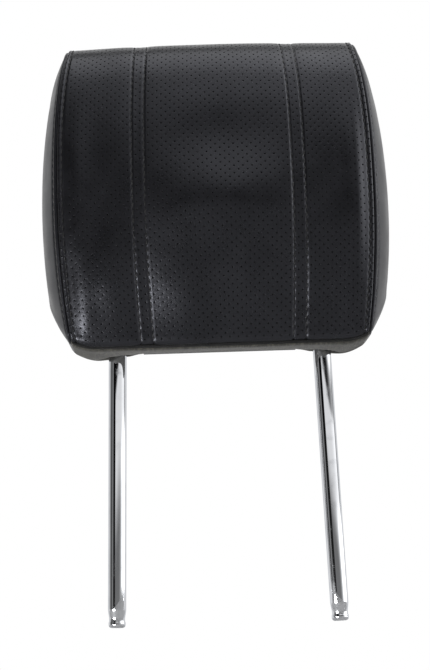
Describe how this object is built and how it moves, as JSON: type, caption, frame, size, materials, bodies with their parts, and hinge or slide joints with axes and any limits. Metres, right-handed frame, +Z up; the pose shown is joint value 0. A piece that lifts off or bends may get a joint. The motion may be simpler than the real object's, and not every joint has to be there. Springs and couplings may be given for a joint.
{
  "type": "car headrest",
  "caption": "Black leather car headrest with a perforated face, twin stitch rows, a dark grey fabric underside and two chromed posts.",
  "frame": {"origin": "midway between the two posts, level with the underside of the head where the posts leave it", "axes": "+X to the right as the face is seen from the front, +Y from the face to the back, +Z up along the head"},
  "size_m": [0.2466, 0.1069, 0.4136],
  "materials": {
    "perforated_leather": "semi-gloss, fine grain, punched with small holes",
    "plain_leather": "semi-gloss, fine grain",
    "base_fabric": "matt, slightly fuzzy non-woven",
    "closure_plastic": "matt extruded",
    "foam": "moulded foam",
    "core_plastic": "moulded, matt",
    "screw_steel": "zinc plated",
    "chrome": "polished"
  },
  "bodies": {
    "root": {"front_panel": "perforated_leather", "rear_panel": "plain_leather", "left_side_panel": "plain_leather", "right_side_panel": "plain_leather", "base_front_flap": "base_fabric", "base_rear_flap": "base_fabric", "closure_catch_strip": "closure_plastic", "closure_hook_strip": "closure_plastic", "foam_pad": "foam", "core_front_shell": "core_plastic", "core_rear_shell": "core_plastic", "core_screw_1": "screw_steel", "core_screw_2": "screw_steel", "core_screw_3": "screw_steel", "core_screw_4": "screw_steel", "post_frame": "chrome"}
  },
  "joints": []
}
